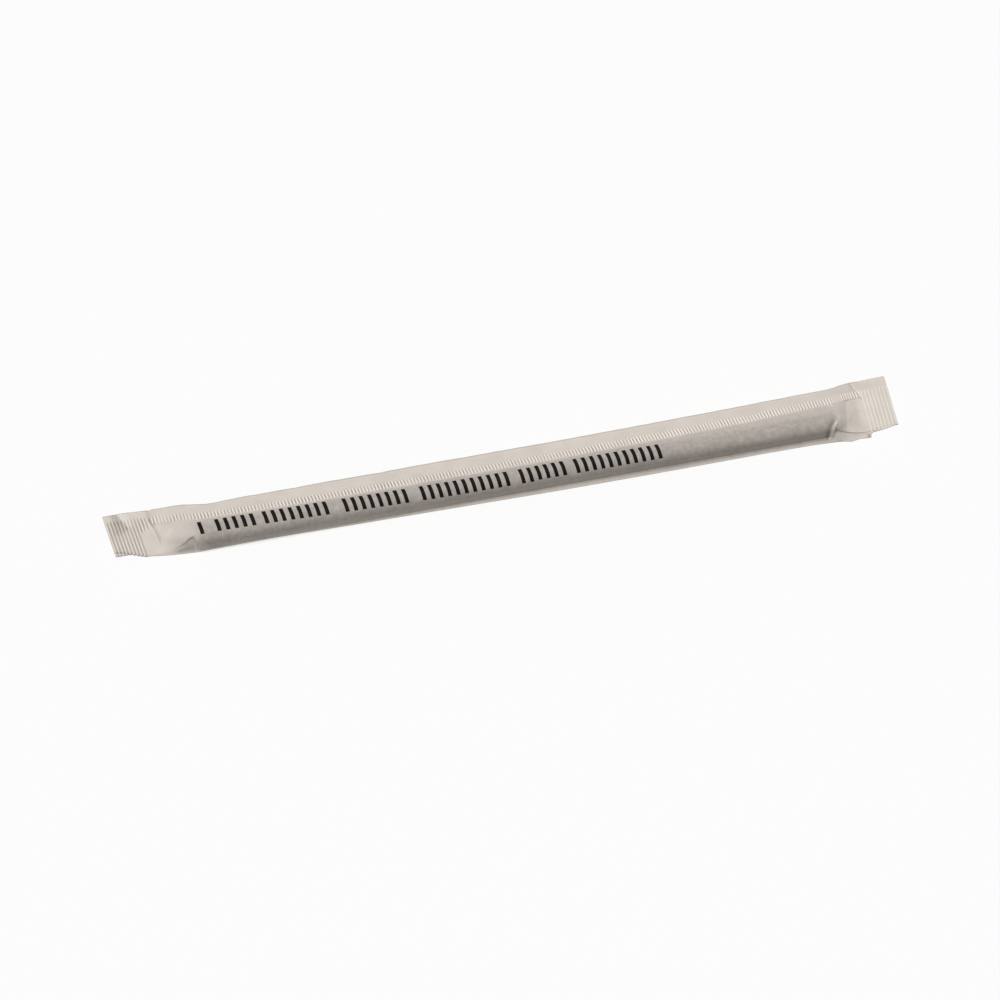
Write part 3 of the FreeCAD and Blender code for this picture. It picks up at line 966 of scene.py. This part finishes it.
def paper_material():
    """The paper, with the straw behind it and the bars on it."""
    material, tree, shader = new_material("sleeve_paper")
    geometry = node(tree, "ShaderNodeTexCoord").outputs["Object"]
    show = node(tree, "ShaderNodeAttribute", attribute_name="show_through").outputs["Fac"]
    height = node(tree, "ShaderNodeAttribute", attribute_name="print_height").outputs["Fac"]
    split = node(tree, "ShaderNodeSeparateXYZ")
    feed(tree, split.inputs[0], geometry)
    along = math_node(tree, "MULTIPLY", math_node(tree, "SUBTRACT", split.outputs["X"], ORIGIN.x), 1 / MM)
    fibres = grain(tree, geometry, *FIBRES)
    blotches = grain(tree, geometry, *BLOTCHES)
    grey = math_node(tree, "MULTIPLY", show, blotches["Tone"])
    base = blend(tree, grey, PAPER_COLOUR, BACKED_COLOUR)
    # The painted light and shade of each point brightens or darkens the paper's colour
    painted_light_and_shade = node(tree, "ShaderNodeAttribute", attribute_name="painted_light_and_shade").outputs["Fac"]
    toned = node(tree, "ShaderNodeVectorMath", operation="SCALE")
    feed(tree, toned.inputs[0], base)
    feed(tree, toned.inputs["Scale"], math_node(tree, "ADD", fibres["Tone"], painted_light_and_shade))
    coloured = blend(tree, ink_mask(tree, along, height), toned.outputs[0], INK_COLOUR)
    feed(tree, shader.inputs["Base Color"], coloured)
    shader.inputs["Roughness"].default_value = PAPER_ROUGHNESS
    shader.inputs["Specular IOR Level"].default_value = PAPER_GLOSS
    bump = node(tree, "ShaderNodeBump")
    bump.inputs["Strength"].default_value = TOOTH
    bump.inputs["Distance"].default_value = TOOTH_DEPTH
    feed(tree, bump.inputs["Height"], fibres["Height"])
    feed(tree, shader.inputs["Normal"], bump.outputs["Normal"])
    return material


sleeve.data.materials.append(paper_material())
print("paper nodes", len(sleeve.data.materials[0].node_tree.nodes))

# %% [markdown]
# The straw is smooth black plastic with a soft gloss. It keeps the solid's own shape, because a plain tube
# needs no more, and it lies unseen in the sleeve. Its black is faintly cloudy, from the same grain group.

# %% Straw
STRAW_COLOUR = (0.012, 0.012, 0.013)
STRAW_GRAIN = (60, 900, 1.5)
STRAW_ROUGHNESS = 0.28


def straw_material():
    """Black plastic."""
    material, tree, shader = new_material("straw_plastic")
    place = node(tree, "ShaderNodeTexCoord").outputs["Object"]
    toned = node(tree, "ShaderNodeVectorMath", operation="SCALE")
    toned.inputs[0].default_value = STRAW_COLOUR
    feed(tree, toned.inputs["Scale"], grain(tree, place, *STRAW_GRAIN)["Tone"])
    feed(tree, shader.inputs["Base Color"], toned.outputs[0])
    shader.inputs["Roughness"].default_value = STRAW_ROUGHNESS
    return material


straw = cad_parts["drinking_straw"]
straw.data.materials.clear()
straw.data.materials.append(straw_material())
print("materials", [m.name for m in bpy.data.materials])

# %% [markdown]
# The table is one large pale square at z = 0, wide enough to fill the camera's view. It could be lit until it
# turns white, but then the shadow would be gone. It is almost white by its own colour instead, so the
# sleeve's soft shadow stays on it.

# %% Table
TABLE_SIDE = 3.0            # metres from the middle to each side
TABLE_COLOUR = (0.89, 0.89, 0.89, 1)


def table():
    """A large pale floor at z = 0, which belongs to the stage."""
    mesh = bpy.data.meshes.new("table")
    far = TABLE_SIDE
    corners = [(-far, -far, 0), (far, -far, 0), (far, far, 0), (-far, far, 0)]
    mesh.from_pydata(corners, [], [(0, 1, 2, 3)])
    floor = bpy.data.objects.new("table", mesh)
    bpy.context.scene.collection.objects.link(floor)
    material, tree, shader = new_material("table")
    shader.inputs["Base Color"].default_value = TABLE_COLOUR
    shader.inputs["Roughness"].default_value = 0.9
    shader.inputs["Specular IOR Level"].default_value = 0.1
    mesh.materials.append(material)


table()
print("table", 2 * TABLE_SIDE, "m wide")

# %% [markdown]
# The real light is a large soft box overhead: it lights the sleeve evenly from end to end and leaves only
# a faint shadow. An area lamp near the table would be uneven over such a long thing, so the key light is a
# distant lamp with a wide angle. White surroundings fill the shadows, and are seen as plain white.

# %% Light
KEY_DIRECTION = (-0.12, 0.05, 1.0)
KEY_SPREAD = 35             # degrees
KEY_STRENGTH = 2.68
SURROUND_STRENGTH = 0.25


def key_light(name, direction, spread, strength):
    """A distant soft light, as from a large box overhead: even over the whole table."""
    light = bpy.data.lights.new(name, "SUN")
    light.angle = math.radians(spread)
    light.energy = strength
    lamp = bpy.data.objects.new(name, light)
    lamp.rotation_euler = Vector(direction).to_track_quat("Z", "Y").to_euler()
    bpy.context.scene.collection.objects.link(lamp)


def surroundings():
    """White surroundings: even light, and a white background."""
    made = bpy.data.worlds.new("surroundings")
    bpy.context.scene.world = made
    made.use_nodes = True
    tree = made.node_tree
    tree.nodes.clear()
    output = node(tree, "ShaderNodeOutputWorld")
    light = node(tree, "ShaderNodeBackground")
    light.inputs["Color"].default_value = (1, 1, 1, 1)
    light.inputs["Strength"].default_value = SURROUND_STRENGTH
    seen = node(tree, "ShaderNodeBackground")
    seen.inputs["Color"].default_value = (1, 1, 1, 1)
    path = node(tree, "ShaderNodeLightPath")
    mix = node(tree, "ShaderNodeMixShader")
    tree.links.new(path.outputs["Is Camera Ray"], mix.inputs[0])
    tree.links.new(light.outputs[0], mix.inputs[1])
    tree.links.new(seen.outputs[0], mix.inputs[2])
    tree.links.new(mix.outputs[0], output.inputs["Surface"])


surroundings()
key_light("overhead", KEY_DIRECTION, KEY_SPREAD, KEY_STRENGTH)
print("light", KEY_STRENGTH, "spread", KEY_SPREAD, "degrees")

# %% [markdown]
# The camera looks down at the sleeve from the front and a little from the left. Its place was fitted to the
# straw's two ends and to the slant of the cut edges, so distances and angles agree with the real view.

# %% Camera
LENS, SENSOR = 74.7, 36     # millimetres
AIM = Vector((-0.0067, -0.0103, 0))
DISTANCE = 0.6376
AZIMUTH = math.radians(13.2)
ELEVATION = math.radians(50.0)


def camera():
    """The photograph's camera: in front, a little to the left, looking down."""
    level = Vector((-math.sin(AZIMUTH), -math.cos(AZIMUTH), 0))
    back = level * math.cos(ELEVATION) + Vector((0, 0, math.sin(ELEVATION)))
    data = bpy.data.cameras.new("camera")
    data.sensor_width = SENSOR
    data.lens = LENS
    data.clip_start = 0.01
    made = bpy.data.objects.new("camera", data)
    made.location = AIM + back * DISTANCE
    made.rotation_euler = back.to_track_quat("Z", "Y").to_euler()
    bpy.context.scene.collection.objects.link(made)
    bpy.context.scene.camera = made


camera()
bpy.context.scene.view_settings.view_transform = "Standard"
print("camera", [round(value, 3) for value in bpy.context.scene.camera.location])
